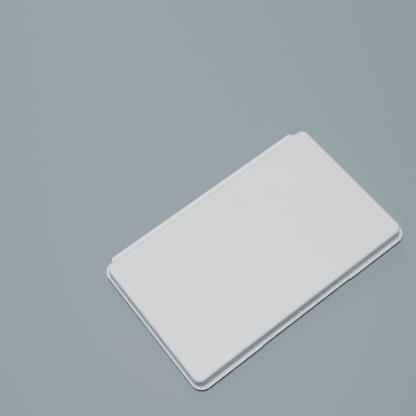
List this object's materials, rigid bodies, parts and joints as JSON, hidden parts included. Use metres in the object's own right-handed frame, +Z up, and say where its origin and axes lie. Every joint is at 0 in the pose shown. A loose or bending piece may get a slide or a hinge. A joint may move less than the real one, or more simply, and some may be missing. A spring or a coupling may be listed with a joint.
{
  "type": "wet palette",
  "caption": "Slim white hinged wet palette for water-based paints: shallow tray with a damp sponge and a palette sheet under a deep lipped lid.",
  "frame": {"origin": "on the table, under the middle of the whole case, hinge strip included", "axes": "+Z up from the table; X along the case's long side; +Y to the hinge, so the finger side faces -Y"},
  "size_m": [0.2, 0.1268, 0.011],
  "materials": {
    "case_plastic": "smooth satin moulded white plastic",
    "seal_silicone": "soft translucent grey silicone",
    "sponge_foam": "damp fine open-cell cellulose sponge",
    "palette_paper": "damp semi-translucent parchment sheet",
    "pin_steel": "drawn stainless wire",
    "foot_rubber": "matt grey rubber"
  },
  "bodies": {
    "tray": {"base_tray": "case_plastic", "sponge_pad": "sponge_foam", "palette_paper": "palette_paper", "hinge_pin_right": "pin_steel", "hinge_pin_left": "pin_steel", "foot_front_left": "foot_rubber", "foot_front_right": "foot_rubber", "foot_rear_left": "foot_rubber", "foot_rear_right": "foot_rubber"},
    "lid": {"lid_shell": "case_plastic", "lid_seal": "seal_silicone"}
  },
  "joints": [
    {"name": "lid_hinge", "type": "hinge", "parent": "tray", "child": "lid", "pos_m": [0, 0.06253, 0.00175], "axis": [-1, 0, 0], "range_deg": [0, 125]}
  ]
}
